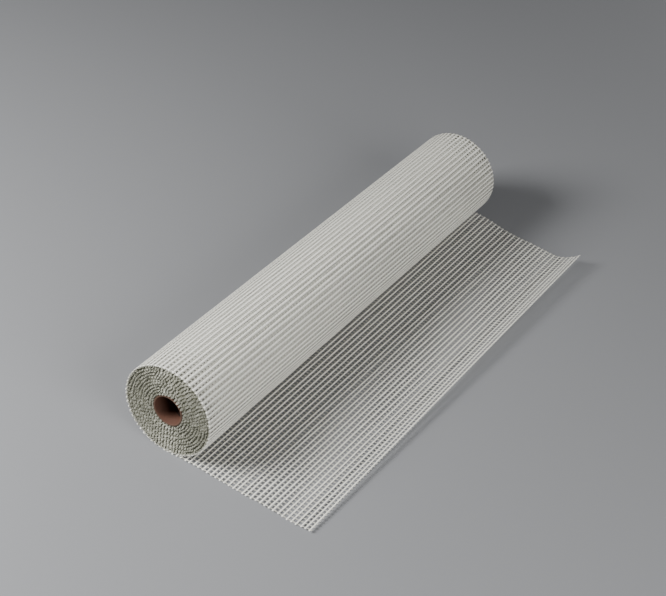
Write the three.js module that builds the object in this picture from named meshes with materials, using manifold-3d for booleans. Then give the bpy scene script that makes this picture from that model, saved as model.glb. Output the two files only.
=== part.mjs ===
// A roll of open-weave fiberglass reinforcing mesh on a cardboard core tube, lying on its side with
// the loose end of the web unrolled in front of it. Millimetres, +Z up, the roll's axis along X,
// the loose end towards -Y. The origin is the middle of the footprint, on the floor.
import * as THREE from "three";
import { mergeVertices } from "three/addons/utils/BufferGeometryUtils.js";
import Module from "manifold-3d";

// The web, and how much of it is wound up.
const WEB_WIDTH = 1000;
const WEB_THICKNESS = 1;
const ROLL_RADIUS = 90;

// The cardboard tube. It is cut a little shorter than the web is wide.
const CORE_BORE_RADIUS = 27.5;
const CORE_WALL = 3;
const CORE_RECESS = 2;
const SEAT_GAP = 0.3;

// The turns, shown on each end as V grooves, each standing for a bundle of turns.
const END_GROOVES = 8;
const GROOVE_WIDTH = 1.4;
const GROOVE_DEPTH = 1.6;

// The loose end: how far it reaches in front of the axis, where it bridges off the floor beside the
// roll, and where its edge curls up. It stands higher at the far end (+X) than at the near end (-X).
const TAIL_REACH = 310;
const BRIDGE_TOP = 64;
const BRIDGE_END = 185;
const BRIDGE_HEIGHT_NEAR = 3.5;
const BRIDGE_HEIGHT_FAR = 15;
const CURL_LENGTH = 60;
const CURL_HEIGHT_NEAR = 5;
const CURL_HEIGHT_FAR = 19;

// How finely the round and the curved surfaces are divided.
const ROUND_SEGMENTS = 56;
const TAIL_STEPS_ACROSS = 4;
const TAIL_STEPS_ALONG = 31;

const wasm = await Module();
wasm.setup();

// The roll stands on the middle of one facet, so its axis is one apothem above the floor.
const AXIS_HEIGHT = ROLL_RADIUS * Math.cos(Math.PI / ROUND_SEGMENTS);
const AXIS_Y = (TAIL_REACH - ROLL_RADIUS) / 2;
const MESH_BORE_RADIUS = CORE_BORE_RADIUS + CORE_WALL + SEAT_GAP;

// A closed profile of [radius, distance along the axis] points, turned about the roll's axis.
function turnedAboutRollAxis(profile) {
  const points = [...profile, profile[0]].map(([r, along]) => new THREE.Vector2(r, along));
  const halfFacet = Math.PI / ROUND_SEGMENTS;
  const turned = new THREE.LatheGeometry(points, ROUND_SEGMENTS, halfFacet, 2 * Math.PI);
  turned.rotateZ(-Math.PI / 2);
  return turned.translate(0, AXIS_Y, AXIS_HEIGHT);
}

// The radii at which the end grooves lie, from the outermost to the innermost.
function grooveRadii() {
  const spacing = (ROLL_RADIUS - MESH_BORE_RADIUS) / (END_GROOVES + 1);
  return Array.from({ length: END_GROOVES }, (_, i) => ROLL_RADIUS - spacing * (i + 1));
}

// The wound web: a thick ring whose two flat ends carry the grooves.
function woundWeb() {
  const end = WEB_WIDTH / 2;
  const farEnd = grooveRadii().flatMap((r) => [
    [r + GROOVE_WIDTH / 2, end],
    [r, end - GROOVE_DEPTH],
    [r - GROOVE_WIDTH / 2, end],
  ]);
  const nearEnd = farEnd.map(([r, along]) => [r, -along]).reverse();
  return turnedAboutRollAxis([
    [ROLL_RADIUS, -end],
    [ROLL_RADIUS, end],
    ...farEnd,
    [MESH_BORE_RADIUS, end],
    [MESH_BORE_RADIUS, -end],
    ...nearEnd,
  ]);
}

const smoothStep = THREE.MathUtils.smoothstep;
const lerp = THREE.MathUtils.lerp;

// The height of the loose end's underside at x, a distance out from under the roll's axis.
function tailHeight(x, out) {
  const alongWidth = x / WEB_WIDTH + 0.5;
  const rise = smoothStep(out, 0, BRIDGE_TOP);
  const fall = 1 - smoothStep(out, BRIDGE_TOP, BRIDGE_END);
  const curled = Math.max(0, out - (TAIL_REACH - CURL_LENGTH)) / CURL_LENGTH;
  const bridge = lerp(BRIDGE_HEIGHT_NEAR, BRIDGE_HEIGHT_FAR, alongWidth) * Math.min(rise, fall);
  return bridge + lerp(CURL_HEIGHT_NEAR, CURL_HEIGHT_FAR, alongWidth) * curled ** 2;
}

// The loose end: a thin sheet bent to that height.
function looseEnd() {
  const sheet = new THREE.BoxGeometry(
    WEB_WIDTH,
    TAIL_REACH,
    WEB_THICKNESS,
    TAIL_STEPS_ACROSS,
    TAIL_STEPS_ALONG,
    1,
  );
  sheet.translate(0, -TAIL_REACH / 2, WEB_THICKNESS / 2);
  const position = sheet.attributes.position;
  for (let i = 0; i < position.count; i++) {
    const lift = tailHeight(position.getX(i), -position.getY(i));
    position.setZ(i, position.getZ(i) + lift);
  }
  return sheet.translate(0, AXIS_Y, 0);
}

// A closed geometry as a manifold-3d solid.
function solidOf(geometry) {
  geometry.deleteAttribute("normal");
  geometry.deleteAttribute("uv");
  const merged = mergeVertices(geometry, 1e-3);
  return new wasm.Manifold(
    new wasm.Mesh({
      numProp: 3,
      vertProperties: merged.attributes.position.array,
      triVerts: new Uint32Array(merged.index.array),
    }),
  );
}

function geometryOf(solid) {
  const mesh = solid.getMesh();
  return new THREE.BufferGeometry()
    .setAttribute("position", new THREE.BufferAttribute(mesh.vertProperties, 3))
    .setIndex(new THREE.BufferAttribute(mesh.triVerts, 1));
}

// Wound web and loose end are one length of cloth, so they are one solid.
const meshWeb = new THREE.Mesh(
  geometryOf(solidOf(woundWeb()).add(solidOf(looseEnd()))),
  new THREE.MeshStandardMaterial({ color: 0xd6d6cc, roughness: 0.55, metalness: 0 }),
);
meshWeb.name = "mesh_web";

const coreEnd = WEB_WIDTH / 2 - CORE_RECESS;
const coreTube = new THREE.Mesh(
  turnedAboutRollAxis([
    [CORE_BORE_RADIUS + CORE_WALL, -coreEnd],
    [CORE_BORE_RADIUS + CORE_WALL, coreEnd],
    [CORE_BORE_RADIUS, coreEnd],
    [CORE_BORE_RADIUS, -coreEnd],
  ]),
  new THREE.MeshStandardMaterial({ color: 0x8a5d43, roughness: 0.85, metalness: 0 }),
);
coreTube.name = "core_tube";

const roll = new THREE.Group();
roll.add(meshWeb, coreTube);

export default roll;
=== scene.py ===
import bpy
import numpy as np
from mathutils import Matrix, Vector


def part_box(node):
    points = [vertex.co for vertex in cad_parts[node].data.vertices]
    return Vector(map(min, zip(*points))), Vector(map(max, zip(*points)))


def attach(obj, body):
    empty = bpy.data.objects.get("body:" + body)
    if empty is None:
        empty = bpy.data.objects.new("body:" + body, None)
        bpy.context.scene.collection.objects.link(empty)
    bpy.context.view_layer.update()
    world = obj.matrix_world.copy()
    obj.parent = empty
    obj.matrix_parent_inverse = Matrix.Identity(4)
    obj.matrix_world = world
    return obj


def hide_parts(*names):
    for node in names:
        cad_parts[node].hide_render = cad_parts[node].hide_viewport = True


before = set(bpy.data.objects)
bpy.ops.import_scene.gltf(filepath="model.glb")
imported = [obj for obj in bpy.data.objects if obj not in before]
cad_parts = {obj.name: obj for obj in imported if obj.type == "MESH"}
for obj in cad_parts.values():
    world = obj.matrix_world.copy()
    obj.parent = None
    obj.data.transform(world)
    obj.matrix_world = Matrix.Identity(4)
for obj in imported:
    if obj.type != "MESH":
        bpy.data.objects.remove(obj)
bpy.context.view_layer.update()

# The core tube: a cardboard tube of glued paper plies, wound on a slant and cut off square, a little
# shorter than the web is wide. The web is wound straight on to it.
TUBE_WALL = 0.003
TUBE_SEGMENTS = 128
TUBE_CUT_EDGE = 0.0004
BORE_STEPS = 26
PLY_WIDTH = 0.085
SEAM_SHARE = 0.03
FIBRES_A_METRE = 700  # flecks 1.4 mm long, coarser than real fibres so that they show

tube_low, tube_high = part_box("core_tube")
tube_end = (tube_high.x - tube_low.x) / 2
tube_radius = (tube_high.z - tube_low.z) / 2
tube_bore = tube_radius - TUBE_WALL
axis_y = (tube_low.y + tube_high.y) / 2
axis_z = (tube_low.z + tube_high.z) / 2


def linear_colour(sRGB_hex):
    """An sRGB hex colour as the linear RGBA that a shader takes."""
    channels = [int(sRGB_hex[i:i + 2], 16) / 255 for i in (1, 3, 5)]
    return [c / 12.92 if c <= 0.04045 else ((c + 0.055) / 1.055) ** 2.4 for c in channels] + [1]


def add_node(material, kind, inputs, **settings):
    """Adds a node with its settings and inputs, and gives its outputs.

    An input is a number, an sRGB hex colour, or the output of another node that feeds it.
    """
    node = material.node_tree.nodes.new(kind)
    for name, value in settings.items():
        setattr(node, name, value)
    for socket, value in inputs.items():
        if isinstance(value, bpy.types.NodeSocket):
            material.node_tree.links.new(value, node.inputs[socket])
        elif isinstance(value, str):
            node.inputs[socket].default_value = linear_colour(value)
        else:
            node.inputs[socket].default_value = value
    return node.outputs


def new_material(name, roughness, ior=1.5):
    """A node material, its Principled shader, and the place on the object that its patterns follow."""
    material = bpy.data.materials.new(name)
    material.use_nodes = True
    shader = material.node_tree.nodes["Principled BSDF"]
    shader.inputs["Roughness"].default_value = roughness
    shader.inputs["IOR"].default_value = ior
    return material, shader, add_node(material, "ShaderNodeTexCoord", {})["Object"]


def finish_material(material, shader, colour, height, strength, distance):
    """Links a colour and a bump to the shader."""
    bump = add_node(material, "ShaderNodeBump",
                    {"Strength": strength, "Distance": distance, "Height": height})[0]
    material.node_tree.links.new(colour, shader.inputs["Base Color"])
    material.node_tree.links.new(bump, shader.inputs["Normal"])


def new_piece(name, points, faces, material, smooth=True):
    """A mesh object that rides on the object's one body."""
    mesh = bpy.data.meshes.new(name)
    corners = faces.shape[1]
    mesh.vertices.add(len(points))
    mesh.vertices.foreach_set("co", points.astype(np.float32).ravel())
    mesh.loops.add(faces.size)
    mesh.loops.foreach_set("vertex_index", faces.astype(np.int32).ravel())
    mesh.polygons.add(len(faces))
    mesh.polygons.foreach_set("loop_start", np.arange(0, faces.size, corners, dtype=np.int32))
    mesh.polygons.foreach_set("loop_total", np.full(len(faces), corners, np.int32))
    mesh.polygons.foreach_set("use_smooth", np.full(len(faces), smooth))
    mesh.update(calc_edges=True)
    mesh.materials.append(material)
    piece = bpy.data.objects.new(name, mesh)
    bpy.context.collection.objects.link(piece)
    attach(piece, "root")
    return piece


def turned(profile, segments):
    """Points and faces of a closed profile of (x, radius) points turned about the roll's axis."""
    x, radius = np.array(profile).T
    angle = np.linspace(0, 2 * np.pi, segments, endpoint=False)[:, None]
    points = np.stack([
        np.broadcast_to(x, (segments, len(x))),
        axis_y + radius * np.sin(angle),
        axis_z - radius * np.cos(angle),
    ], axis=2).reshape(-1, 3)
    ring, along = np.meshgrid(np.arange(segments), np.arange(len(x)), indexing="ij")
    next_ring, next_along = (ring + 1) % segments, (along + 1) % len(x)
    corner = [ring * len(x) + along, ring * len(x) + next_along,
              next_ring * len(x) + next_along, next_ring * len(x) + along]
    return points, np.stack(corner, axis=2).reshape(-1, 4)


# Kraft board: matt brown paper, with the slanting seam of each ply and fine fibres. The bare cut ends
# are greyer than the calendered faces.
kraft_board, board_shader, board_place = new_material("kraft_board", roughness=0.8)
board_x, board_y, board_z = add_node(kraft_board, "ShaderNodeSeparateXYZ", {0: board_place})
beside_axis = add_node(kraft_board, "ShaderNodeMath", {0: board_y, 1: axis_y}, operation="SUBTRACT")[0]
above_axis = add_node(kraft_board, "ShaderNodeMath", {0: board_z, 1: axis_z}, operation="SUBTRACT")[0]
board_angle = add_node(kraft_board, "ShaderNodeMath", {0: beside_axis, 1: above_axis}, operation="ARCTAN2")[0]
board_turn = add_node(kraft_board, "ShaderNodeMath", {0: board_angle, 1: 1 / (2 * np.pi)},
                      operation="MULTIPLY")[0]
board_plies = add_node(kraft_board, "ShaderNodeMath", {0: board_x, 1: 1 / PLY_WIDTH}, operation="MULTIPLY")[0]
board_slant = add_node(kraft_board, "ShaderNodeMath", {0: board_turn, 1: board_plies}, operation="ADD")[0]
across_ply = add_node(kraft_board, "ShaderNodeMath", {0: board_slant}, operation="FRACT")[0]
on_seam = add_node(kraft_board, "ShaderNodeMath", {0: across_ply, 1: SEAM_SHARE}, operation="LESS_THAN")[0]
from_middle = add_node(kraft_board, "ShaderNodeMath", {0: board_x}, operation="ABSOLUTE")[0]
on_cut_end = add_node(kraft_board, "ShaderNodeMath", {0: from_middle, 1: tube_end - TUBE_CUT_EDGE},
                      operation="GREATER_THAN")[0]
fibres = add_node(kraft_board, "ShaderNodeTexNoise",
                  {"Vector": board_place, "Scale": FIBRES_A_METRE, "Detail": 6, "Roughness": 0.7})["Fac"]
board_paper = add_node(kraft_board, "ShaderNodeMixRGB",
                       {"Fac": fibres, "Color1": "#2F190E", "Color2": "#5A3420"})[0]
board_face = add_node(kraft_board, "ShaderNodeMixRGB",
                      {"Fac": on_seam, "Color1": board_paper, "Color2": "#1F110A"})[0]
board_colour = add_node(kraft_board, "ShaderNodeMixRGB",
                        {"Fac": on_cut_end, "Color1": board_face, "Color2": "#4B3425"})[0]
finish_material(kraft_board, board_shader, board_colour, fibres, strength=0.4, distance=0.0003)

tube_profile = [
    (-tube_end, tube_radius - TUBE_CUT_EDGE),
    (-tube_end + TUBE_CUT_EDGE, tube_radius),
    (tube_end - TUBE_CUT_EDGE, tube_radius),
    (tube_end, tube_radius - TUBE_CUT_EDGE),
    (tube_end, tube_bore + TUBE_CUT_EDGE),
    (tube_end - TUBE_CUT_EDGE, tube_bore),
    *[(x, tube_bore) for x in np.linspace(tube_end, -tube_end, BORE_STEPS)[1:-1]],
    (-tube_end + TUBE_CUT_EDGE, tube_bore),
    (-tube_end, tube_bore + TUBE_CUT_EDGE),
]
core_tube = new_piece("cardboard_core", *turned(tube_profile, TUBE_SEGMENTS), kraft_board)
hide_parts("core_tube")

# The web: an open leno weave of glass yarn, coated in white resin, 50 m of it wound up. Weft yarns
# cross it from edge to edge. The warp runs its whole length in pairs, which cross between two wefts
# and so grip each one. Its path is a spiral in the roll, and goes on as the loose end.
WEFT_PITCH = 0.0092
WARP_PAIRS = 114
TURN_PITCH = 0.000445
WEB_THICKNESS = 0.001
EDGE_FRINGE = 0.004
FREE_FRINGE = 0.004
FREE_EDGE_PROUD = 0.003
TAIL_SKEW = 0.006
BRIDGE_TOP = 0.064
BRIDGE_END = 0.185
BRIDGE_HEIGHTS = (0.0035, 0.015)
CURL_LENGTH = 0.060
CURL_HEIGHTS = (0.005, 0.030)
CURL_FADE = 0.02
HOVER = 0.003
HOVER_FROM = 0.12
HOVER_FULL = 0.19
HOVER_STEADY = 0.65
HOVER_SWAY = (0.35, 40, 14)
PATH_STEPS = 400

web_low, web_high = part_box("mesh_web")
web_width = web_high.x - web_low.x
web_radius = axis_z - WEB_THICKNESS / 2
turn_length = 2 * np.pi * web_radius
longest_reach = axis_y - web_low.y + FREE_EDGE_PROUD


def smooth_step(value, low, high):
    """A ramp from 0 at low to 1 at high, level at both."""
    t = np.clip((value - low) / (high - low), 0, 1)
    return t * t * (3 - 2 * t)


def wave(shape, along, across):
    """A wave's value. Its shape is a height, and its radians for each unit along and across."""
    height, rate_along, rate_across = shape
    return height * np.sin(rate_along * along + rate_across * across)


def tail_height(x, out):
    """How high the web's middle lies, a distance out from the line under the roll's axis.

    It bridges off the floor beside the roll, hovers a little on its own stiffness, and curls up at its
    free edge.
    """
    across = x / web_width + 0.5
    curl_from = longest_reach - TAIL_SKEW * (1 - across) - CURL_LENGTH
    arch = BRIDGE_HEIGHTS[0] + (BRIDGE_HEIGHTS[1] - BRIDGE_HEIGHTS[0]) * across
    arch = arch * np.minimum(smooth_step(out, 0, BRIDGE_TOP), 1 - smooth_step(out, BRIDGE_TOP, BRIDGE_END))
    hover = HOVER * (HOVER_STEADY + wave(HOVER_SWAY, out, x)) * smooth_step(out, HOVER_FROM, HOVER_FULL)
    hover = hover * (1 - smooth_step(out, curl_from - CURL_FADE, curl_from + CURL_FADE))
    curl = CURL_HEIGHTS[0] + (CURL_HEIGHTS[1] - CURL_HEIGHTS[0]) * across
    curl = curl * (np.maximum(0, out - curl_from) / CURL_LENGTH) ** 2
    free = WEB_THICKNESS / 2 + arch + hover + curl
    wound = axis_z - np.sqrt(np.maximum(0, web_radius ** 2 - out ** 2))
    return np.where(out < web_radius, np.minimum(free, wound), free)


def tail_path(x):
    """The loose end's path at x: distance along the web, distance out, and height."""
    out = np.linspace(0, longest_reach - TAIL_SKEW * (0.5 - x / web_width), PATH_STEPS)
    height = tail_height(x, out)
    along = np.concatenate([[0], np.cumsum(np.hypot(np.diff(out), np.diff(height)))])
    return along, out, height


# The loose end's length is taken at the near edge. Its wefts spread a little towards the far edge.
free_end = tail_path(-web_width / 2)[0][-1]
last_weft = free_end - FREE_FRINGE


def web_surface(x, along):
    """Points in the middle of the web, with its outward normal and its direction towards the free edge.

    There is a row for each place x across the web. Along is the distance along it, from the line
    under the roll's axis, and what is wound up has a negative one.
    """
    wound = np.maximum(0, -along)
    turned_by = (web_radius - np.sqrt(web_radius ** 2 - TURN_PITCH * wound / np.pi)) * 2 * np.pi / TURN_PITCH
    radius = web_radius - TURN_PITCH * turned_by / (2 * np.pi)
    y, z = axis_y + radius * np.sin(turned_by), axis_z - radius * np.cos(turned_by)
    normal_y, normal_z = np.sin(turned_by), -np.cos(turned_by)
    for row, place in enumerate(x):
        loose = along[row] > 0
        path, out, height = tail_path(place)
        reach = np.interp(along[row][loose] * path[-1] / free_end, path, out)
        slope = np.interp(reach, out, np.gradient(height, out))
        y[row, loose], z[row, loose] = axis_y - reach, np.interp(reach, out, height)
        normal_y[row, loose] = -slope / np.hypot(1, slope)
        normal_z[row, loose] = -1 / np.hypot(1, slope)
    across = np.broadcast_to(np.reshape(x, (-1, 1)), along.shape)
    flat = np.zeros_like(y)
    return (np.stack([across, y, z], axis=2), np.stack([flat, normal_y, normal_z], axis=2),
            np.stack([flat, normal_z, -normal_y], axis=2))


def yarns(centre, wide, thick, half_width, half_thickness, sides):
    """Closed flattened tubes along rows of points, one for each row."""
    count, steps = centre.shape[:2]
    around = (np.arange(sides) + 0.5) * 2 * np.pi / sides
    points = (centre[:, :, None] + wide[:, :, None] * half_width * np.cos(around)[:, None]
              + thick[:, :, None] * half_thickness * np.sin(around)[:, None]).reshape(-1, 3)
    first = np.arange(count)[:, None, None] * steps * sides
    step = np.arange(steps - 1)[None, :, None] * sides
    side, next_side = np.arange(sides), (np.arange(sides) + 1) % sides
    walls = np.stack([first + step + side, first + step + next_side,
                      first + step + sides + next_side, first + step + sides + side], axis=3)
    caps = []
    for corner in range(1, sides - 1, 2):
        start = np.array([0, corner + 2, corner + 1, corner])
        end = (steps - 1) * sides + np.array([0, corner, corner + 1, corner + 2])
        caps += [first[:, 0] + start, first[:, 0] + end]
    return points, np.concatenate([walls.reshape(-1, 4), *caps])


def joined(*parts):
    """Several sets of points and faces as one."""
    points, faces, count = [], [], 0
    for part_points, part_faces in parts:
        points.append(part_points)
        faces.append(part_faces + count)
        count += len(part_points)
    return np.concatenate(points), np.concatenate(faces)


# On the cut weft ends the dark patches are partly painted shade between the stubs.
PATCHES_A_METRE = 220  # patches of thicker resin, 4.5 mm across
FILAMENTS_A_METRE = 2500  # hollows 0.4 mm apart, coarser than real filaments so that they show


def coated_glass(name, dark, light):
    """Glass yarn in white resin: off-white, a little glossy where the resin has set smooth.

    Fine hollows between the glass filaments run along each yarn.
    """
    material, shader, place = new_material(name, roughness=0.45)
    patches = add_node(material, "ShaderNodeTexNoise",
                       {"Vector": place, "Scale": PATCHES_A_METRE, "Detail": 4})["Fac"]
    filaments = add_node(material, "ShaderNodeTexNoise",
                         {"Vector": place, "Scale": FILAMENTS_A_METRE, "Detail": 2})["Fac"]
    colour = add_node(material, "ShaderNodeMixRGB", {"Fac": patches, "Color1": dark, "Color2": light})[0]
    finish_material(material, shader, colour, filaments, strength=0.3, distance=0.0002)
    return material


coated_weft = coated_glass("resin_coated_weft_yarn", "#E8E6DB", "#FBFAF3")
# The warps are greyer than the wefts, partly from their thinner resin and partly as painted shade of the
# wefts that lie over them.
coated_warp_and_shade = coated_glass("resin_coated_warp_yarn", "#B8B6AB", "#DAD8CE")
# The turns under the outer one are the same coated yarn, painted darker as the shade of the turn over them.
painted_shade_yarn = coated_glass("resin_coated_covered_yarn", "#A3A298", "#CCCBC0")

# The yarns' sizes. The outer turn's wefts are pressed wider. In the turns under it, which only show
# through its openings, each pair of warps is one band.
WEFT_HALF_WIDTH = 0.00145
WEFT_HALF_THICKNESS = 0.00048
PRESSED_HALF_WIDTH = 0.0021
WARP_HALF_WIDTH = 0.0008
WARP_HALF_THICKNESS = 0.00022
WARP_SWING = 0.0008
WARP_OFFSET = 0.00028
BAND_HALF_WIDTH = 0.0012
FINE_SIDES = 6
COARSE_SIDES = 4
FINE_STEPS = 2
COARSE_STEPS = 1
BESIDE_WEFT = 0.25
OUTER_TURNS = 4

# How the yarns stray from their places. Each wave has its height, and its radians a metre along the
# web and across it, but the ripple goes by the weft's number. The wound turns stray further, and fully
# from SETTLED on.
SETTLED = 0.3
MOST_WEFTS = 400
WEFT_SLIP = 0.00035
CUT_SLIP = 0.0014
WEFT_BOW = (0.0009, 9, 4.3)
WEFT_RIPPLE = (0.0003, 2.4, 31)
WOUND_WEFT_BOW = (0.0024, 5, 3.1)
WARP_DRIFT = (0.0042, 4.3, 0)
WARP_RIPPLE = (0.0006, 23, 70)
STRAIGHT_EDGES = 8
ROUNDING = 1e-9

random = np.random.default_rng(4)
weft_slip = random.normal(0, WEFT_SLIP, MOST_WEFTS)
cut_slip = random.uniform(0, CUT_SLIP, (2, MOST_WEFTS))
warp_x = np.linspace(-web_width / 2 + EDGE_FRINGE, web_width / 2 - EDGE_FRINGE, WARP_PAIRS)


def wander(x, along):
    """How far the warps have strayed sideways in the wound turns, whose edges stay in line."""
    strayed = wave(WARP_DRIFT, along, x) + wave(WARP_RIPPLE, along, x)
    return strayed * (1 - (2 * x / web_width) ** STRAIGHT_EDGES) * np.clip(-along / SETTLED, 0, 1)


def weft_yarns(first_along, last_along, x, half_width, sides):
    """The wefts between two distances along the web, each bowed and slipped a little."""
    first = np.ceil((last_weft - last_along) / WEFT_PITCH - ROUNDING)
    last = np.floor((last_weft - first_along) / WEFT_PITCH)
    number = np.arange(first, last + 1).astype(int)
    along = last_weft - number * WEFT_PITCH
    x = x[:, None]
    bow = wave(WEFT_BOW, along, x) + wave(WEFT_RIPPLE, number, x)
    bow = bow + wave(WOUND_WEFT_BOW, along, x) * np.clip(-along / SETTLED, 0, 1)
    centre, outward, forward = web_surface(x[:, 0], along + (bow + weft_slip[number]) * (number > 0))
    centre[0, :, 0] += cut_slip[0, number]
    centre[-1, :, 0] -= cut_slip[1, number]
    swap = (1, 0, 2)
    return yarns(centre.transpose(swap), forward.transpose(swap), outward.transpose(swap),
                 half_width, WEFT_HALF_THICKNESS, sides)


def warp_yarns(first_along, last_along, steps_a_pitch, half_width, swing, offset):
    """The warps between two distances along the web, one for each pair, beside and above the middle.

    A warp has points a quarter of a pitch to either side of each weft, or to one side only.
    """
    first = np.floor((last_weft - last_along) / WEFT_PITCH)
    last = np.ceil((last_weft - first_along) / WEFT_PITCH)
    number = np.arange(first * steps_a_pitch, last * steps_a_pitch + 1) / steps_a_pitch + BESIDE_WEFT
    along = np.unique(np.clip(last_weft - number * WEFT_PITCH, first_along, last_along))
    number = (last_weft - along) / WEFT_PITCH
    centre, outward, forward = web_surface(warp_x, np.tile(along, (WARP_PAIRS, 1)))
    centre = centre + outward * offset
    centre[..., 0] += wander(warp_x[:, None], along) + swing * np.sign(np.cos(np.pi * number))
    wide = np.broadcast_to([1.0, 0, 0], centre.shape)
    return yarns(centre, wide, outward, half_width, WARP_HALF_THICKNESS, COARSE_SIDES)


weft_x = np.concatenate([[-web_width / 2], warp_x, [web_width / 2]])
coarse_x = np.concatenate([[-web_width / 2], warp_x[::2], [web_width / 2]])
next_from = -OUTER_TURNS * turn_length

loose_wefts = new_piece("loose_end_wefts", *weft_yarns(
    0, last_weft, weft_x, WEFT_HALF_WIDTH, FINE_SIDES), coated_weft)
loose_warps = new_piece("loose_end_warps", *joined(
    warp_yarns(0, free_end, FINE_STEPS, WARP_HALF_WIDTH, WARP_SWING, -WARP_OFFSET),
    warp_yarns(0, free_end, FINE_STEPS, WARP_HALF_WIDTH, -WARP_SWING, WARP_OFFSET)), coated_warp_and_shade)
outer_wefts = new_piece("outer_turn_wefts", *weft_yarns(
    -turn_length, 0, weft_x, PRESSED_HALF_WIDTH, FINE_SIDES), coated_weft)
outer_over = new_piece("outer_turn_over_warps", *warp_yarns(
    -turn_length, 0, FINE_STEPS, WARP_HALF_WIDTH, WARP_SWING, WARP_OFFSET), coated_warp_and_shade)
outer_under = new_piece("outer_turn_under_warps", *warp_yarns(
    -turn_length, 0, COARSE_STEPS, WARP_HALF_WIDTH, -WARP_SWING, -WARP_OFFSET), coated_warp_and_shade)
next_wefts = new_piece("next_turns_wefts", *weft_yarns(
    next_from, -turn_length, coarse_x, WEFT_HALF_WIDTH, COARSE_SIDES), painted_shade_yarn)
next_warps = new_piece("next_turns_warps", *warp_yarns(
    next_from, -turn_length, COARSE_STEPS, BAND_HALF_WIDTH, 0, 0), painted_shade_yarn)
web_pieces = [loose_wefts, loose_warps, outer_wefts, outer_over, outer_under, next_wefts, next_warps]

# The inner turns of the web: almost 130 of them, pressed together, so that the mesh is closed up. At
# the roll's two ends their cut edges show the bare grey-green glass, painted darker as the shade deep
# between the stubs. Their side is painted darker too, as the shade of the turns over it.
RIDGES = 48
RIDGE_DEPTH = 0.0012
BODY_SEGMENTS = 128
BODY_RECESS = 0.0045
BODY_GAP = 0.0002
MOTTLES_A_METRE = 420  # mottles 2.4 mm across, where yarns cross and press

body_radius = web_radius - OUTER_TURNS * TURN_PITCH - BODY_GAP
body_bore = tube_radius + BODY_GAP
body_end = web_width / 2 - BODY_RECESS
ridge_radii = np.linspace(body_radius, body_bore, 2 * RIDGES + 1)
ridge_x = body_end - RIDGE_DEPTH * (np.arange(2 * RIDGES + 1) % 2)
body_profile = np.concatenate([
    np.stack([ridge_x, ridge_radii], axis=1),
    np.stack([-ridge_x, ridge_radii], axis=1)[::-1],
])

pressed_web, pressed_shader, pressed_place = new_material("pressed_glass_web", roughness=0.6)
mottle = add_node(pressed_web, "ShaderNodeTexNoise",
                  {"Vector": pressed_place, "Scale": MOTTLES_A_METRE, "Detail": 5, "Roughness": 0.7})["Fac"]
pressed_x = add_node(pressed_web, "ShaderNodeSeparateXYZ", {0: pressed_place})[0]
pressed_from_middle = add_node(pressed_web, "ShaderNodeMath", {0: pressed_x}, operation="ABSOLUTE")[0]
on_end = add_node(pressed_web, "ShaderNodeMath", {0: pressed_from_middle, 1: body_end - 2 * RIDGE_DEPTH},
                  operation="GREATER_THAN")[0]
# Painted shade: the side, seen only through the outer turns' openings, is the off-white web painted darker as
# the shade of the turns over it.
painted_shade_side_colour = add_node(pressed_web, "ShaderNodeMixRGB",
                       {"Fac": mottle, "Color1": "#716F66", "Color2": "#A6A499"})[0]
# The ends are the bare glass's grey-green, painted darker as the shade deep between the cut stubs.
glass_and_shade_end_colour = add_node(pressed_web, "ShaderNodeMixRGB",
                      {"Fac": mottle, "Color1": "#3E3F31", "Color2": "#6F705A"})[0]
pressed_colour = add_node(pressed_web, "ShaderNodeMixRGB",
                          {"Fac": on_end, "Color1": painted_shade_side_colour, "Color2": glass_and_shade_end_colour})[0]
finish_material(pressed_web, pressed_shader, pressed_colour, mottle, strength=0.6, distance=0.0006)
wound_body = new_piece("inner_turns", *turned(body_profile, BODY_SEGMENTS), pressed_web)

# The cut weft ends: every weft of every inner turn sticks out of the roll's end as a short flat stub.
# The resin sticks neighbouring stubs together in little tufts, which lie in rings.
STUB_HALF_WIDTH = 0.0010
STUB_HALF_THICKNESS = 0.00025
STUB_SPREAD = 0.0008
STUB_SLIP = 0.0006
RING_PITCH = 0.0054
TUFT_PITCH = 0.0064
TUFT_DRAW = 0.82
FIRST_TURN_GAP = 0.0004

# How far each tuft lies off its place, in shares of a tuft's pitch and of a ring's. The waves go by the
# ring's number and the tuft's, and are so short that no pattern shows.
TUFT_SCATTER = (0.3, 37.7, 91.1)
RING_SCATTER = (0.25, 53.3, 17.9)

# The stubs mix light bare glass with near-black patches. The patches are partly the glass and partly painted
# shade of stubs sunk among the others.
cut_glass_and_shade = coated_glass("cut_glass_yarn_ends", "#323326", "#D5D4C4")
wound_length = np.pi * (web_radius ** 2 - (tube_radius + FIRST_TURN_GAP) ** 2) / TURN_PITCH
stub_along = np.arange(next_from, -wound_length, -WEFT_PITCH)[None]


def drawn_together(y, z):
    """Where the stubs' tips go when each is drawn towards the middle of its tuft."""
    radius, angle = np.hypot(y - axis_y, z - axis_z), np.arctan2(y - axis_y, axis_z - z)
    ring = np.floor((web_radius - radius) / RING_PITCH)
    ring_radius = web_radius - (ring + 0.5) * RING_PITCH
    tufts = np.round(2 * np.pi * ring_radius / TUFT_PITCH)
    tuft = np.round(angle * tufts / (2 * np.pi))
    tuft_angle = (tuft + wave(TUFT_SCATTER, ring, tuft)) * 2 * np.pi / tufts
    tuft_radius = ring_radius + RING_PITCH * wave(RING_SCATTER, ring, tuft)
    radius = np.maximum(radius + TUFT_DRAW * (tuft_radius - radius), tube_radius + STUB_HALF_THICKNESS)
    angle = angle + TUFT_DRAW * (tuft_angle - angle)
    return axis_y + radius * np.sin(angle), axis_z - radius * np.cos(angle)


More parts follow.
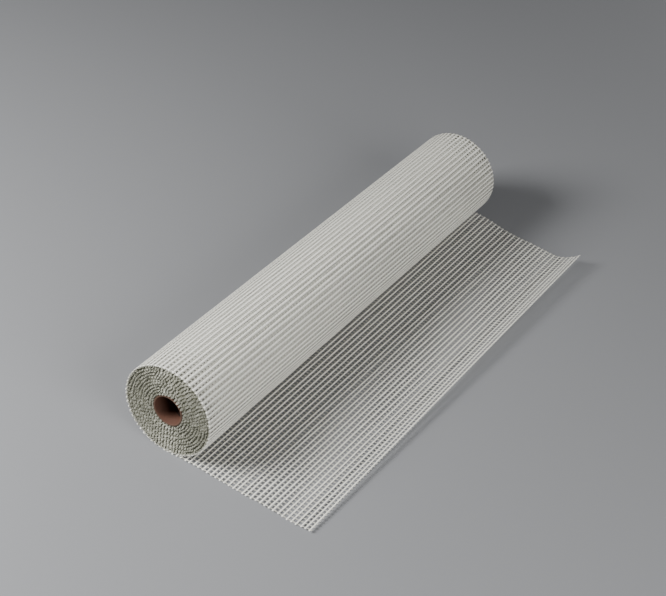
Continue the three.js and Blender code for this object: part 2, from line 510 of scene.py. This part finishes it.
def cut_ends(side):
    """The stubs on one end of the roll: -1 is the near end and 1 the far end."""
    along = stub_along + random.normal(0, STUB_SLIP, stub_along.shape)
    base, outward, forward = web_surface(np.array([side * (body_end - RIDGE_DEPTH)]), along)
    tip = base.copy()
    tip[..., 0] = side * (web_width / 2 - random.uniform(0, STUB_SPREAD, along.shape))
    tip[..., 1], tip[..., 2] = drawn_together(base[..., 1], base[..., 2])
    centre = np.concatenate([base, tip]).transpose(1, 0, 2)
    if side < 0:
        centre = centre[:, ::-1]
    wide = np.concatenate([forward, forward]).transpose(1, 0, 2)
    thick = np.concatenate([outward, outward]).transpose(1, 0, 2)
    return yarns(centre, wide, thick, STUB_HALF_WIDTH, STUB_HALF_THICKNESS, COARSE_SIDES)


near_stubs = new_piece("near_end_weft_stubs", *cut_ends(-1), cut_glass_and_shade, smooth=False)
far_stubs = new_piece("far_end_weft_stubs", *cut_ends(1), cut_glass_and_shade, smooth=False)
web_pieces += [wound_body, near_stubs, far_stubs]

for piece in web_pieces:
    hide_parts("mesh_web")

# The studio: a plain pale grey floor, and the camera where the photograph was taken from.
FLOOR_SIZE = 14
WORLD_STRENGTH = 0.1
CAMERA_PLACE = (-2.185, -1.054, 1.944)
CAMERA_AZIMUTH = -62.3
CAMERA_ELEVATION = 37.5
CAMERA_ROLL = 9
LENS = 87.7

floor_paint, floor_shader = new_material("floor_paint", roughness=0.7)[:2]
floor_shader.inputs["Base Color"].default_value = linear_colour("#828385")
half = FLOOR_SIZE / 2
floor_corners = [(-half, -half, 0), (half, -half, 0), (half, half, 0), (-half, half, 0)]
floor_mesh = bpy.data.meshes.new("floor")
floor_mesh.from_pydata(floor_corners, [], [(0, 1, 2, 3)])
floor_mesh.materials.append(floor_paint)
floor = bpy.data.objects.new("floor", floor_mesh)
bpy.context.collection.objects.link(floor)


def softbox(name, place, target, size, power):
    """A square area light that looks at a point."""
    light = bpy.data.lights.new(name, "AREA")
    light.shape = "SQUARE"
    light.size, light.energy = size, power
    lamp = bpy.data.objects.new(name, light)
    lamp.location = place
    lamp.rotation_euler = (Vector(target) - Vector(place)).to_track_quat("-Z", "Y").to_euler()
    bpy.context.collection.objects.link(lamp)


softbox("key", place=(-1.75, 1.55, 1.6), target=(-0.45, 0.35, 0), size=1.1, power=144)
softbox("fill", place=(-1.2, -2.7, 1.5), target=(-0.3, 0, 0), size=2.2, power=106)
softbox("rim", place=(2.4, -0.3, 0.7), target=(0.5, 0.1, 0.1), size=1.2, power=5)
world = bpy.data.worlds.new("studio")
world.use_nodes = True
background = world.node_tree.nodes["Background"]
background.inputs["Color"].default_value = linear_colour("#BDBFC6")
background.inputs["Strength"].default_value = WORLD_STRENGTH
bpy.context.scene.world = world

azimuth, elevation, roll = np.radians([CAMERA_AZIMUTH, CAMERA_ELEVATION, CAMERA_ROLL])
back = Vector((np.sin(azimuth) * np.cos(elevation), -np.cos(azimuth) * np.cos(elevation), np.sin(elevation)))
level = Vector((0, 0, 1)).cross(back).normalized()
upward = back.cross(level)
right = np.cos(roll) * level + np.sin(roll) * upward
upward = back.cross(right)
camera_data = bpy.data.cameras.new("camera")
camera_data.lens = LENS
camera = bpy.data.objects.new("camera", camera_data)
camera.matrix_world = Matrix.Translation(CAMERA_PLACE) @ Matrix((right, upward, back)).transposed().to_4x4()
bpy.context.collection.objects.link(camera)
bpy.context.scene.camera = camera
